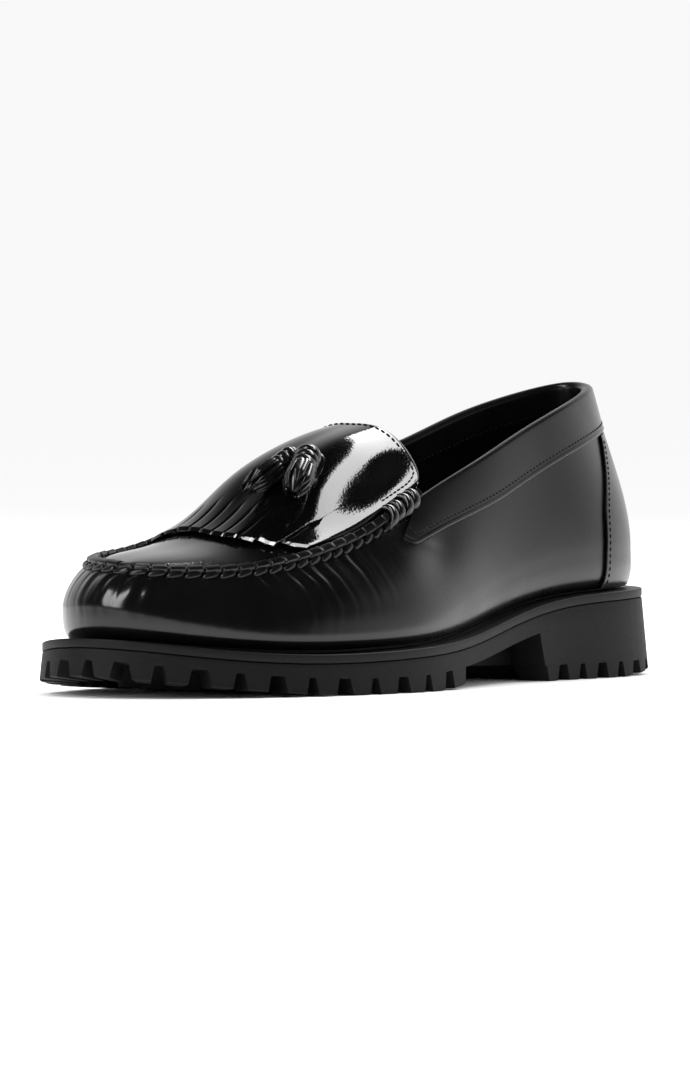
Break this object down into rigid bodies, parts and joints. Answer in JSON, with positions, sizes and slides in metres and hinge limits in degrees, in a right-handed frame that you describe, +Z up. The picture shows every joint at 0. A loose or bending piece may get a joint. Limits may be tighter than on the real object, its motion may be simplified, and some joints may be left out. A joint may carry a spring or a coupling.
{
  "type": "tassel loafer shoe",
  "caption": "Black leather moccasin loafer for the left foot with a fringed kiltie, tassels, a folded collar band and a lugged rubber sole.",
  "frame": {"origin": "on the floor under the middle of the sole's box", "axes": "+Z up, -X towards the toe, +X towards the heel, -Y the outer (lateral) side, +Y the inner (medial) side"},
  "size_m": [0.3037, 0.1113, 0.1068],
  "materials": {
    "leather": "gloss",
    "lining": "matte",
    "rubber": "matte"
  },
  "bodies": {
    "root": {"upper": "leather", "collar_band": "leather", "heel_counter": "leather", "kiltie": "leather", "lace_wrap_outer": "leather", "lace_wrap_inner": "leather", "tassel_outer": "leather", "tassel_inner": "leather", "tassel_tie": "leather", "insole": "lining", "midsole": "rubber", "outsole": "rubber"}
  },
  "joints": []
}
